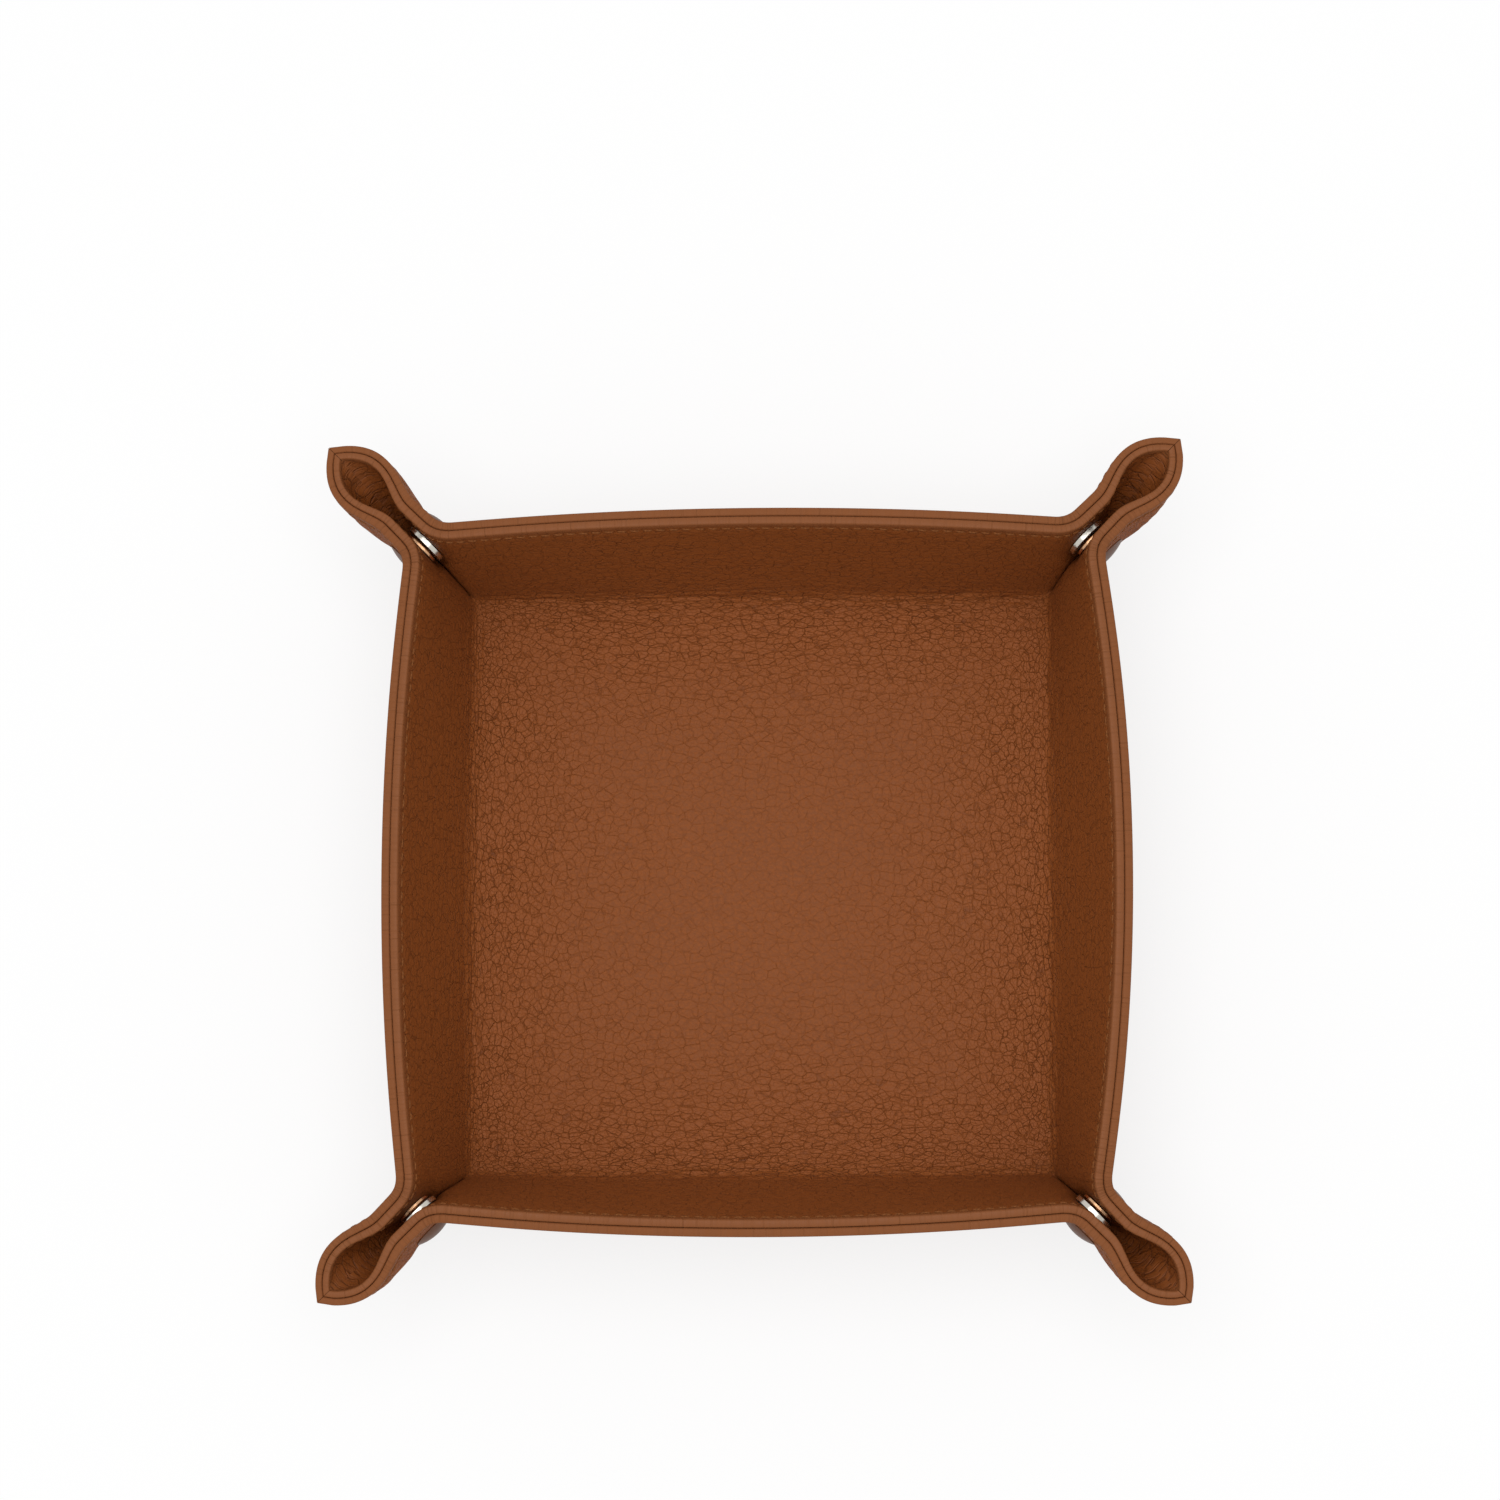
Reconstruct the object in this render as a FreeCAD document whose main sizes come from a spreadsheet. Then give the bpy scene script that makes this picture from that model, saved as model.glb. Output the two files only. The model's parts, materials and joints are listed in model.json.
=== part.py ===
"""Leather valet tray.

Two bonded layers of leather fold up from a square floor into four walls, and
the corners are pinched into four ears that press snaps hold shut.
Millimetres; the front wall is towards -Y, and z = 0 is the underside.
"""

import FreeCAD
import Part
import Sketcher

import itertools
import math
import os

from FreeCAD import Placement, Rotation, Vector

# Driving sizes: name, value, meaning
SIZES = (
    ("base_side", 160.0, "floor of the tray, crease to crease"),
    ("lining_thick", 2.4, "inner leather"),
    ("outer_thick", 2.4, "outer leather"),
    ("board_inset", 6.0, "crease to the edge of the stiffening board"),
    ("board_thick", 1.4, "stiffening board"),
    ("board_corner", 8.0, "corner radius of the board"),
    ("board_play", 0.2, "room round the edge of the board"),
    ("wall_run", 46.0, "crease to rim, measured up the wall"),
    ("rim_end_out", 8.3, "lean of the rim at the wall ends"),
    ("rim_mid_out", 13.2, "lean of the rim at mid-wall"),
    ("bend_radius", 13.0, "lining, where a wall turns into an ear"),
    ("flare_start", 11.0, "end of the flat, pinched part of an ear"),
    ("flare_length", 15.5, "flat part to widest part of an ear"),
    ("flare_gap", 3.9, "half opening of an ear at its widest"),
    ("tip_length", 12.3, "widest part of an ear to its tip"),
    ("tip_step", 1.1, "layer set-back at the tip, per thickness"),
    ("seam_play", 0.2, "room along the folds"),
    ("keel_start", 1.6, "floor corner to the first section of the fold under an ear"),
    ("snap_margin", 1.3, "fold line of an ear to the cap, on the slant"),
    ("snap_height", 33.0, "snap axis above the table"),
    ("snap_play", 0.3, "room between the snap faces"),
    ("socket_dia", 12.0, "socket"),
    ("socket_thick", 1.5, "socket"),
    ("socket_plate", 0.4, "plate at the back and lip at the front"),
    ("socket_bore", 4.5, "mouth of the socket"),
    ("ring_seat_dia", 5.9, "groove for the spring ring"),
    ("ring_dia", 5.5, "spring ring, outside"),
    ("ring_wire", 0.55, "spring ring wire"),
    ("ring_turn", 300.0, "arc of the spring ring"),
    ("stud_flange_dia", 9.6, "stud flange"),
    ("stud_flange_thick", 0.9, "stud flange"),
    ("stud_head_dia", 3.8, "stud head"),
    ("stud_neck_dia", 3.2, "stud neck"),
    ("stud_length", 1.2, "stud above its flange"),
    ("stud_socket", 0.5, "post shank inside the stud"),
    ("cap_over", 0.2, "cap and post head past the socket"),
    ("cap_edge", 0.5, "cap and post head at the edge"),
    ("cap_dome", 1.5, "rise of the cap's dome"),
    ("post_dome", 1.0, "rise of the post's dome"),
    ("shank_dia", 3.2, "shank through the leather"),
    ("hole_play", 0.3, "hole over shank"),
    ("edge_break", 0.3, "broken edges of the snap parts"),
)

# Sizes that follow from those: name, formula, meaning
DERIVED = (
    ("full_thick", "lining_thick + outer_thick", "both leathers"),
    ("board_side", "base_side - 2 * board_inset", "stiffening board"),
    ("fold_length", "base_side - 2 * lining_thick", "outer leather that turns up along one side"),
    ("hole_dia", "shank_dia + hole_play", "hole for a shank"),
    ("cap_dia", "socket_dia + 2 * cap_over", "cap and post head"),
    ("snap_reach", "cap_dia / 2 + snap_margin", "fold line of an ear to the snap, on the slant"),
    ("ear_gap", "(socket_thick + stud_flange_thick + snap_play) / 2", "half the room for a closed snap"),
    ("stud_top", "stud_flange_thick + stud_length", "stud, from the leather"),
)

doc = FreeCAD.newDocument("valet_tray")
sheet = doc.addObject("Spreadsheet::Sheet", "sizes")
sheet_rows = itertools.count(1)


def add_row(name, content, meaning):
    """Next row of the sheet, with its name as the alias."""
    row = next(sheet_rows)
    sheet.set("A%d" % row, name)
    sheet.set("B%d" % row, content)
    sheet.set("C%d" % row, meaning)
    sheet.setAlias("B%d" % row, name)


for name, value, meaning in SIZES:
    add_row(name, repr(value), meaning)
for name, formula, meaning in DERIVED:
    add_row(name, "=" + formula, meaning)
doc.recompute()


def size(name):
    """Value of one size on the sheet, in millimetres or degrees."""
    return float(getattr(sheet, name))


LINING = size("lining_thick")
FULL = size("full_thick")
HALF = size("base_side") / 2
PLAY = size("seam_play")
UP = Vector(0, 0, 1)
ROOT2 = math.sqrt(2)

# One corner, front right: along the diagonal, and from it towards the front wall
ALONG = Vector(1, -1, 0).normalize()
ASIDE = Vector(-1, -1, 0).normalize()
CORNER = Vector(HALF, -HALF, FULL)

# The rim stands this far above the floor, and a wall end leans by this much per rise
RISE = math.sqrt(size("wall_run") ** 2 - size("rim_end_out") ** 2)
END_LEAN = size("rim_end_out") / RISE
EAR_LEAN = ROOT2 * END_LEAN
RULING = UP + ALONG * EAR_LEAN

# The fold under an ear runs at 45 degrees in the flat hide
CREASE_SLANT = math.atan(size("rim_end_out") / size("wall_run"))
FOLD_FROM_UP = math.atan(EAR_LEAN) + math.pi / 4 - CREASE_SLANT
FOLD_RISE = 1 / math.tan(FOLD_FROM_UP)
RIM_FALL = math.tan(math.atan(EAR_LEAN) - CREASE_SLANT)

EAR_GAP = size("ear_gap")
BEND = size("bend_radius")
QUARTER_TURN = math.pi / 4
SPLIT = QUARTER_TURN * 3 / 2
BEND_END = BEND * (ROOT2 - 1) - EAR_GAP
CROWN_S = size("flare_start") + size("flare_length")
SNAP_CENTRE = CORNER + ALONG * size("snap_reach") + RULING * (size("snap_height") - FULL)

# Cutting tools reach this far past what they cut
SPARE = 20.0
# Sections of the fold under an ear, and halvings when a place on a curve is looked for
KEEL_STEPS = 7
HALVINGS = 50


def corner_point(s, n, rise=0.0):
    """Point at plan place (s, n) of the corner, carried up the ear's ruling."""
    return CORNER + ALONG * s + ASIDE * n + RULING * rise


def bend_centre(rise):
    """Centre of the bend at the right end of the front wall."""
    out = END_LEAN * rise
    inset = HALF - (EAR_GAP * ROOT2 + BEND * math.tan(QUARTER_TURN / 2))
    return Vector(inset + out, -HALF - BEND - out, FULL + rise)


def around(centre, radius, angle, mirrored=False):
    """Point on a level circle; mirrored gives the same point of the left end."""
    p = centre + Vector(math.cos(angle), math.sin(angle), 0) * radius
    return Vector(-p.x, p.y, p.z) if mirrored else p


def arc(a, b, c):
    """Edge through three points."""
    return Part.Arc(a, b, c).toShape()


def wall_edges(offset, rise, bulge):
    """Plan of one face of the front wall, left to right, as three edges."""
    centre = bend_centre(rise)
    start = math.pi / 2
    if bulge:
        mid_y = -HALF - size("rim_mid_out")
        drop = mid_y - centre.y
        crown = (centre.x ** 2 + drop ** 2 - BEND ** 2) / (2 * (BEND - drop))
        start = math.atan2(mid_y + crown - centre.y, -centre.x)
    radius = BEND - offset
    ends = [around(centre, radius, a) for a in (start, (start + SPLIT) / 2, SPLIT)]
    other = [around(centre, radius, a, True) for a in (start, (start + SPLIT) / 2, SPLIT)]
    if bulge:
        middle = arc(other[0], Vector(0, mid_y - offset, centre.z), ends[0])
    else:
        middle = Part.makeLine(other[0], ends[0])
    return [arc(other[2], other[1], other[0]), middle, arc(ends[0], ends[1], ends[2])]


def ends_of(edges):
    """First and last point of a run of edges."""
    return edges[0].Vertexes[0].Point, edges[-1].Vertexes[-1].Point


def band(near, far):
    """Closed wire between two runs of edges that go the same way."""
    near_first, near_last = ends_of(near)
    far_first, far_last = ends_of(far)
    sides = [Part.makeLine(near_last, far_last), Part.makeLine(far_first, near_first)]
    return Part.Wire(Part.__sortEdges__(near + far + sides))


def wall_solid(inner, outer):
    """Layer of the front wall between two depths from the lining face."""
    foot = band(wall_edges(inner, PLAY, False), wall_edges(outer, PLAY, False))
    rim = band(wall_edges(inner, RISE, True), wall_edges(outer, RISE, True))
    return Part.makeLoft([foot, rim], True, True)


def bezier(points):
    """Cubic edge on four plan places of the corner."""
    curve = Part.BezierCurve()
    curve.setPoles([corner_point(s, n) for s, n in points])
    return curve.toShape()


def crown_places(offset):
    """Plan places of the flare, from the flat part to the widest part."""
    flat = EAR_GAP + offset
    wide = size("flare_gap") + offset
    start = size("flare_start")
    half = size("flare_length") / 2
    return [(start, flat), (start + half, flat), (CROWN_S - half, wide), (CROWN_S, wide)]


def tip_places(offset):
    """Plan places from the widest part of an ear to its tip."""
    wide = size("flare_gap") + offset
    reach = size("tip_length") - (FULL - offset) * size("tip_step")
    tip = CROWN_S + reach
    half = CROWN_S + reach / 2
    return [(CROWN_S, wide), (half, wide), (tip - wide / 4, wide / 2), (tip, PLAY / 2)]


def ear_edges(offset):
    """Plan of one face of an ear, from the middle of the bend to the tip."""
    centre = bend_centre(0)
    radius = BEND - offset
    turn = [around(centre, radius, a) for a in (SPLIT, (SPLIT + QUARTER_TURN) / 2, QUARTER_TURN)]
    crown = bezier(crown_places(offset))
    straight = Part.makeLine(turn[2], crown.Vertexes[0].Point)
    return [arc(*turn), straight, crown, bezier(tip_places(offset))]


def side_prism(outline, half_width):
    """Prism across the diagonal on (s, z) points."""
    points = [CORNER + ALONG * s + UP * z - ASIDE * half_width for s, z in outline]
    face = Part.Face(Part.makePolygon(points + points[:1]))
    return face.extrude(ASIDE * half_width * 2)


def rim_line(s):
    """Height of the ear's rim above the floor at one place along the diagonal."""
    return RISE - (s - EAR_LEAN * RISE) * RIM_FALL


def ear_profile():
    """Side view of an ear between its fold line and its rim."""
    meet = (rim_line(0) - PLAY) / (FOLD_RISE + RIM_FALL)
    return [(-SPARE, PLAY), (0, PLAY), (meet, rim_line(meet)), (-SPARE, rim_line(-SPARE))]


def along_aside(radius, start, length):
    """Cylinder on the snap's axis, from one distance off the diagonal plane."""
    return Part.makeCylinder(radius, length, SNAP_CENTRE + ASIDE * start, ASIDE)


def ear_solid(inner, outer):
    """Layer of the ear half that grows from the front wall."""
    plan = Part.Face(band(ear_edges(inner), ear_edges(outer)))
    block = plan.extrude(RULING * (RISE + SPARE))
    solid = block.common(side_prism(ear_profile(), SPARE))
    solid = solid.cut(along_aside(size("hole_dia") / 2, 0, SPARE))
    seat = size("cap_dia") / 2 + PLAY
    solid = solid.cut(along_aside(seat, EAR_GAP + FULL, SPARE))
    return solid.Solids[0]


def plan_on(places, s):
    """Distance aside where a cubic on four places reaches s."""
    low, high = 0.0, 1.0
    weights = (1, 3, 3, 1)

    def at(t, axis):
        return sum(w * p[axis] * t ** i * (1 - t) ** (3 - i)
                   for i, (w, p) in enumerate(zip(weights, places)))

    for _ in range(HALVINGS):
        mid = (low + high) / 2
        if at(mid, 0) < s:
            low = mid
        else:
            high = mid
    return at(low, 1)


def lining_gap(s):
    """Half opening between the linings at plan place s of the ear."""
    if s < BEND_END:
        return EAR_GAP + BEND - math.sqrt(BEND ** 2 - (BEND_END - s) ** 2)
    if s < size("flare_start"):
        return EAR_GAP
    if s < CROWN_S:
        return plan_on(crown_places(0), s)
    return plan_on(tip_places(0), s)


def keel_section(s, inner, outer):
    """Half ring across the fold line under an ear."""
    centre = CORNER + ALONG * s + UP * (s * FOLD_RISE)
    down = (ALONG * FOLD_RISE - UP).normalize()
    gap = lining_gap(s * (1 - EAR_LEAN * FOLD_RISE))
    near = gap + inner
    far = gap + outer
    return Part.Wire([
        arc(centre + ASIDE * far, centre + down * far, centre - ASIDE * far),
        Part.makeLine(centre - ASIDE * far, centre - ASIDE * near),
        arc(centre - ASIDE * near, centre + down * near, centre + ASIDE * near),
        Part.makeLine(centre + ASIDE * near, centre + ASIDE * far),
    ])


def ear_outline():
    """Plan of a whole ear out to its outer face, as a tall prism."""
    mine = ear_edges(FULL)
    other = [e.mirror(CORNER, ASIDE) for e in mine]
    first = mine[0].Vertexes[0].Point
    last = mine[-1].Vertexes[-1].Point
    back = CORNER - ALONG * SPARE
    mirror_first = first - ASIDE * 2 * (first - CORNER).dot(ASIDE)
    mirror_last = last - ASIDE * 2 * (last - CORNER).dot(ASIDE)
    joins = [Part.makeLine(last, mirror_last), Part.makeLine(first, back)]
    joins.append(Part.makeLine(back, mirror_first))
    wire = Part.Wire(Part.__sortEdges__(mine + other + joins))
    block = Part.Face(wire).extrude(RULING * (RISE + SPARE) * 2)
    block.translate(RULING * -SPARE)
    return block


def keel_solid(inner, outer):
    """Layer of the leather that turns under an ear, from one half to the other."""
    first = size("keel_start")
    last = rim_line(0) / (FOLD_RISE + RIM_FALL)
    stride = (last - first) / KEEL_STEPS
    sections = [keel_section(first + stride * i, inner, outer) for i in range(KEEL_STEPS + 1)]
    keel = Part.makeLoft(sections, True, False)
    past = last + SPARE
    top = [(-SPARE, rim_line(-SPARE)), (past, rim_line(past)), (past, -SPARE), (-SPARE, -SPARE)]
    return keel.common(ear_outline()).common(side_prism(top, SPARE)).Solids[0]


def corner_patch():
    """Rounded outer leather under the floor's corner, where two folds and a keel meet."""
    ball = Part.makeSphere(FULL, CORNER).cut(Part.makeSphere(LINING, CORNER))
    return ball.common(Part.makeBox(SPARE, SPARE, SPARE, CORNER - Vector(0, SPARE, SPARE)))


WALLS = ("front", "right", "back", "left")


def turned(step):
    """Placement of the copy for one wall or corner, counted anticlockwise."""
    return Placement(Vector(), Rotation(UP, 90 * step))


def feature(label, shape, placement):
    """Document object for a leather panel."""
    item = doc.addObject("Part::Feature", label)
    item.Label = label
    item.Shape = shape
    item.Placement = placement
    return item


def bind(item, **expressions):
    """Tie properties of an object to expressions on the sheet."""
    for prop, text in expressions.items():
        item.setExpression(prop, text)


def new_body(label, placement):
    """Empty body with its label and place."""
    body = doc.addObject("PartDesign::Body", label)
    body.Label = label
    body.Placement = placement
    return body


def plane_of(body, name):
    """One of the body's origin planes."""
    return next(f for f in body.Origin.OriginFeatures if f.Role == name)


def profile(name, corners):
    """Put the formulas of a sketch's corners on the sheet; gives the names of their cells."""
    places = []
    for i, corner in enumerate(corners):
        cells = ("%s_x%d" % (name, i), "%s_y%d" % (name, i))
        for cell, formula in zip(cells, corner):
            add_row(cell, "=" + formula, "corner of a sketch")
        places.append(cells)
    doc.recompute()
    return places


def polygon_sketch(body, name, plane, corners, domes=()):
    """Closed sketch whose corners sit at cells of the sheet.

    A corner named in domes starts an arc, centred on the vertical axis, to the next.
    """
    sketch = body.newObject("Sketcher::SketchObject", name)
    sketch.AttachmentSupport = (plane_of(body, plane), [""])
    sketch.MapMode = "FlatFace"
    places = [(size(x), size(y)) for x, y in corners]
    count = len(corners)
    for i in range(count):
        a = Vector(*places[i], 0)
        b = Vector(*places[(i + 1) % count], 0)
        if i in domes:
            middle = (a.x ** 2 + a.y ** 2 - b.y ** 2) / (2 * (a.y - b.y))
            radius = b.y - middle
            begin = math.atan2(a.y - middle, a.x)
            circle = Part.Circle(Vector(0, middle, 0), UP, radius)
            sketch.addGeometry(Part.ArcOfCircle(circle, begin, math.pi / 2), False)
        else:
            sketch.addGeometry(Part.LineSegment(a, b), False)
    for i in range(count):
        sketch.addConstraint(Sketcher.Constraint("Coincident", i, 2, (i + 1) % count, 1))
        if i in domes:
            sketch.addConstraint(Sketcher.Constraint("PointOnObject", i, 3, -2))
    for i, cells in enumerate(corners):
        for kind, cell in zip(("DistanceX", "DistanceY"), cells):
            index = sketch.addConstraint(Sketcher.Constraint(kind, -1, 1, i, 1, size(cell)))
            sketch.setExpression("Constraints[%d]" % index, "sizes." + cell)
    return sketch


def square(side):
    """Corner formulas of a square about the middle."""
    plus = "(%s) / 2" % side
    minus = "-(%s) / 2" % side
    return [(minus, minus), (plus, minus), (plus, plus), (minus, plus)]


def pad(body, sketch, length):
    """Pad of a sketch to a length on the sheet."""
    solid = body.newObject("PartDesign::Pad", "pad")
    solid.Profile = sketch
    bind(solid, Length=length)
    doc.recompute()
    return solid


def turn(label, corners, placement, domes=(), angle="360"):
    """Body turned about its own vertical axis from a half profile."""
    body = new_body(label, placement)
    sketch = polygon_sketch(body, "profile", "XZ_Plane", corners, domes)
    solid = body.newObject("PartDesign::Revolution", "turned")
    solid.Profile = sketch
    solid.ReferenceAxis = (sketch, ["V_Axis"])
    bind(solid, Angle=angle)
    doc.recompute()
    return body


def floor_layer(label, thick, level, recess_on_top):
    """Square floor panel with a skived recess for half of the board."""
    body = new_body(label, Placement(Vector(0, 0, level), Rotation()))
    pad(body, polygon_sketch(body, "outline", "XY_Plane", floor_corners), "sizes." + thick)
    seat = polygon_sketch(body, "seat", "XY_Plane", seat_corners)
    if recess_on_top:
        seat.setExpression("AttachmentOffset.Base.z", "sizes." + thick)
    recess = body.newObject("PartDesign::Pocket", "recess")
    recess.Profile = seat
    bind(recess, Length="sizes.board_thick / 2")
    recess.Reversed = not recess_on_top
    doc.recompute()
    return body


parts = []
outer_level = size("outer_thick")
floor_corners = profile("floor", square("base_side"))
seat_corners = profile("seat", square("board_side + 2 * board_play"))
board_corners = profile("board", square("board_side"))

parts.append(floor_layer("lining_floor", "lining_thick", outer_level, False))
parts.append(floor_layer("outer_floor", "outer_thick", 0.0, True))

board_level = outer_level - size("board_thick") / 2
board = new_body("base_board", Placement(Vector(0, 0, board_level), Rotation()))
board_outline = polygon_sketch(board, "outline", "XY_Plane", board_corners)
board_pad = pad(board, board_outline, "sizes.board_thick")
uprights = ["Edge%d" % i for i, e in enumerate(board_pad.Shape.Edges, start=1)
            if e.BoundBox.ZLength > size("board_thick") / 2]
board_round = board.newObject("PartDesign::Fillet", "corners")
board_round.Base = (board_pad, uprights)
bind(board_round, Radius="sizes.board_corner")
doc.recompute()
parts.append(board)

lining_wall = wall_solid(0, LINING)
outer_wall = wall_solid(LINING, FULL)
lining_ear = ear_solid(0, LINING)
outer_ear = ear_solid(LINING, FULL)
lining_keel = keel_solid(0, LINING)
outer_keel = keel_solid(LINING, FULL).fuse(corner_patch().cut(lining_keel)).removeSplitter()

for step, wall in enumerate(WALLS):
    neighbour = WALLS[(step + 1) % 4]
    place = turned(step)
    corner = "%s_%s" % ((wall, neighbour) if step % 2 == 0 else (neighbour, wall))
    parts.append(feature("lining_wall_" + wall, lining_wall, place))
    parts.append(feature("outer_wall_" + wall, outer_wall, place))
    for layer, solid in (("lining", lining_ear), ("outer", outer_ear)):
        parts.append(feature("%s_ear_%s_%s" % (layer, wall, neighbour), solid, place))
        twin = solid.mirror(Vector(), ASIDE)
        parts.append(feature("%s_ear_%s_%s" % (layer, neighbour, wall), twin, place))
    parts.append(feature("lining_keel_" + corner, lining_keel, place))
    parts.append(feature("outer_keel_" + corner, outer_keel, place))

    # Outer leather where it turns up from the floor into the wall
    quarter = doc.addObject("Part::Cylinder", "fold_face_" + wall)
    core = doc.addObject("Part::Cylinder", "fold_core_" + wall)
    bind(quarter, Radius="sizes.full_thick", Height="sizes.fold_length", Angle="90")
    bind(core, Radius="sizes.lining_thick", Height="sizes.fold_length", Angle="90")
    fold = doc.addObject("Part::Cut", "outer_fold_" + wall)
    fold.Label = "outer_fold_" + wall
    fold.Base = quarter
    fold.Tool = core
    lay = Rotation(Vector(0, -1, 0), Vector(0, 0, -1), Vector(1, 0, 0), "ZXY")
    fold.Placement = place * Placement(Vector(LINING - HALF, -HALF, FULL), lay)
    doc.recompute()
    parts.append(fold)


def head_profile(name, dome, inside):
    """Domed head on a shank; the shank passes both leathers and goes further in."""
    length = "full_thick + " + inside
    return profile(name, [
        ("0", "0"), ("shank_dia / 2", "0"), ("shank_dia / 2", length), ("cap_dia / 2", length),
        ("cap_dia / 2", "%s + cap_edge" % length), ("0", "%s + cap_edge + %s" % (length, dome)),
    ])


# Half profiles of the snap parts, from the leather's face up the snap's axis
socket_profile = profile("socket", [
    ("hole_dia / 2", "0"), ("socket_dia / 2", "0"),
    ("socket_dia / 2", "socket_thick - edge_break"),
    ("socket_dia / 2 - edge_break", "socket_thick"),
    ("socket_bore / 2", "socket_thick"),
    ("socket_bore / 2", "socket_thick - socket_plate"),
    ("ring_seat_dia / 2", "socket_thick - socket_plate"),
    ("ring_seat_dia / 2", "socket_plate"),
    ("hole_dia / 2", "socket_plate"),
])
ring_profile = profile("ring", [
    ("ring_dia / 2 - ring_wire", "socket_plate"),
    ("ring_dia / 2", "socket_plate"),
    ("ring_dia / 2", "socket_plate + ring_wire"),
    ("ring_dia / 2 - ring_wire", "socket_plate + ring_wire"),
])
stud_profile = profile("stud", [
    ("0", "stud_socket"), ("hole_dia / 2", "stud_socket"), ("hole_dia / 2", "0"),
    ("stud_flange_dia / 2", "0"),
    ("stud_flange_dia / 2", "stud_flange_thick - edge_break"),
    ("stud_flange_dia / 2 - edge_break", "stud_flange_thick"),
    ("stud_neck_dia / 2", "stud_flange_thick"),
    ("stud_head_dia / 2", "stud_flange_thick + 2 * edge_break"),
    ("stud_head_dia / 2", "stud_top - edge_break"),
    ("stud_head_dia / 2 - edge_break", "stud_top"),
    ("0", "stud_top"),
])
cap_profile = head_profile("cap", "cap_dome", "socket_plate")
post_profile = head_profile("post", "post_dome", "stud_socket")
# The corner of a head's profile where its dome starts
DOME_START = 4

for step, wall in enumerate(WALLS):
    neighbour = WALLS[(step + 1) % 4]
    # The socket is on the front or back wall's ear, the stud on the side wall's ear
    side = 1 if step % 2 == 0 else -1
    corner = "%s_%s" % ((wall, neighbour) if side > 0 else (neighbour, wall))
    out = ASIDE * side

    def seat(offset, direction):
        """Place on the snap's axis at one distance from the diagonal plane."""
        spot = Placement(SNAP_CENTRE + out * offset, Rotation(UP, direction))
        return turned(step) * spot

    on_lining = seat(EAR_GAP, out * -1)
    parts.append(turn("socket_" + corner, socket_profile, on_lining))
    parts.append(turn("spring_ring_" + corner, ring_profile, on_lining, angle="sizes.ring_turn"))
    in_socket = seat(EAR_GAP - size("socket_plate"), out)
    parts.append(turn("cap_" + corner, cap_profile, in_socket, domes=(DOME_START,)))
    parts.append(turn("stud_" + corner, stud_profile, seat(-EAR_GAP, out)))
    in_stud = seat(size("stud_socket") - EAR_GAP, out * -1)
    parts.append(turn("post_" + corner, post_profile, in_stud, domes=(DOME_START,)))

doc.recompute()

for item in doc.Objects:
    if "Invalid" in item.State or "Error" in item.State:
        raise RuntimeError("not built: " + item.Label)
for item in parts:
    if item.Shape.isNull() or not item.Shape.isValid():
        raise RuntimeError("bad shape: " + item.Label)

os.makedirs("parts", exist_ok=True)
for item in parts:
    item.Shape.exportStep(os.path.join("parts", item.Label + ".step"))
print("pieces", len(parts))
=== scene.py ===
"""Leather valet tray: leather, stitches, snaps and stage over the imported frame.

Metres throughout. Walls, ears and stitches are worked out in the front wall's own frame,
where p runs along the hide, 0 at mid-wall and past HALF on the ears, and t runs from
the fold, 0, to the rim, 1. Quarter turns then put them in place.
"""

import json
import math

import bpy
import numpy as np
from bpy.props import FloatProperty, FloatVectorProperty, PointerProperty
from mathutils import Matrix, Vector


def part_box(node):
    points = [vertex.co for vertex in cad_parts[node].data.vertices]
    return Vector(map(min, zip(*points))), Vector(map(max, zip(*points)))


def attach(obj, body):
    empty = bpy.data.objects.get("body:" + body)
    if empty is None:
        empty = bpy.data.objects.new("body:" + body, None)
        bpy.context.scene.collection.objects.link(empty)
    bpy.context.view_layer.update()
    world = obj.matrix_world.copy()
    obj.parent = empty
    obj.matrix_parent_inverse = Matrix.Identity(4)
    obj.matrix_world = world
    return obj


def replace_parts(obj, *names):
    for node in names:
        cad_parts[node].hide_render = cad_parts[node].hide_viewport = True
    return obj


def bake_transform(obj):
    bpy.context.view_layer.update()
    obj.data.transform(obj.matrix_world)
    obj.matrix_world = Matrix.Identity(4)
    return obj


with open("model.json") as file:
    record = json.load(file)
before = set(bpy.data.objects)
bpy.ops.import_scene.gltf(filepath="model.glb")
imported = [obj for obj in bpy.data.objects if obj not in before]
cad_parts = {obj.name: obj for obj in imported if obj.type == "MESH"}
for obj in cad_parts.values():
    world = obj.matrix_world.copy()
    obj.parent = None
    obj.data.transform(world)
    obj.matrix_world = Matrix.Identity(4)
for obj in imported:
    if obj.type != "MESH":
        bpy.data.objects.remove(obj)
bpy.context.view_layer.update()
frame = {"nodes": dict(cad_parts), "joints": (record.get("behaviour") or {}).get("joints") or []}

bl_info = {
    "name": "Leather valet tray",
    "version": (1, 0, 0),
    "blender": (4, 5, 0),
    "location": "View3D > Sidebar > Tray",
    "description": "Dresses the frame of a snap-cornered tray in grained leather",
    "category": "Object",
}

MM = 0.001
ROOT2 = math.sqrt(2)
WALLS = ("front", "right", "back", "left")

# Read from the frame: half the floor, the two leathers, the rim and the lean of the ears' axes
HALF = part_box("lining_floor")[1].x
FLOOR_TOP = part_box("lining_floor")[1].z
LINING = FLOOR_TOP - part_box("outer_floor")[1].z
STACK = FLOOR_TOP
RIM_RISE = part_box("lining_wall_front")[1].z - FLOOR_TOP
EAR_AXIS = next(j["axis"] for j in frame["joints"] if j["name"] == "ear_front_right_fold")
END_LEAN = abs(EAR_AXIS[0] / EAR_AXIS[2])
EAR_LEAN = ROOT2 * END_LEAN
END_OUT = END_LEAN * RIM_RISE

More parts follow.
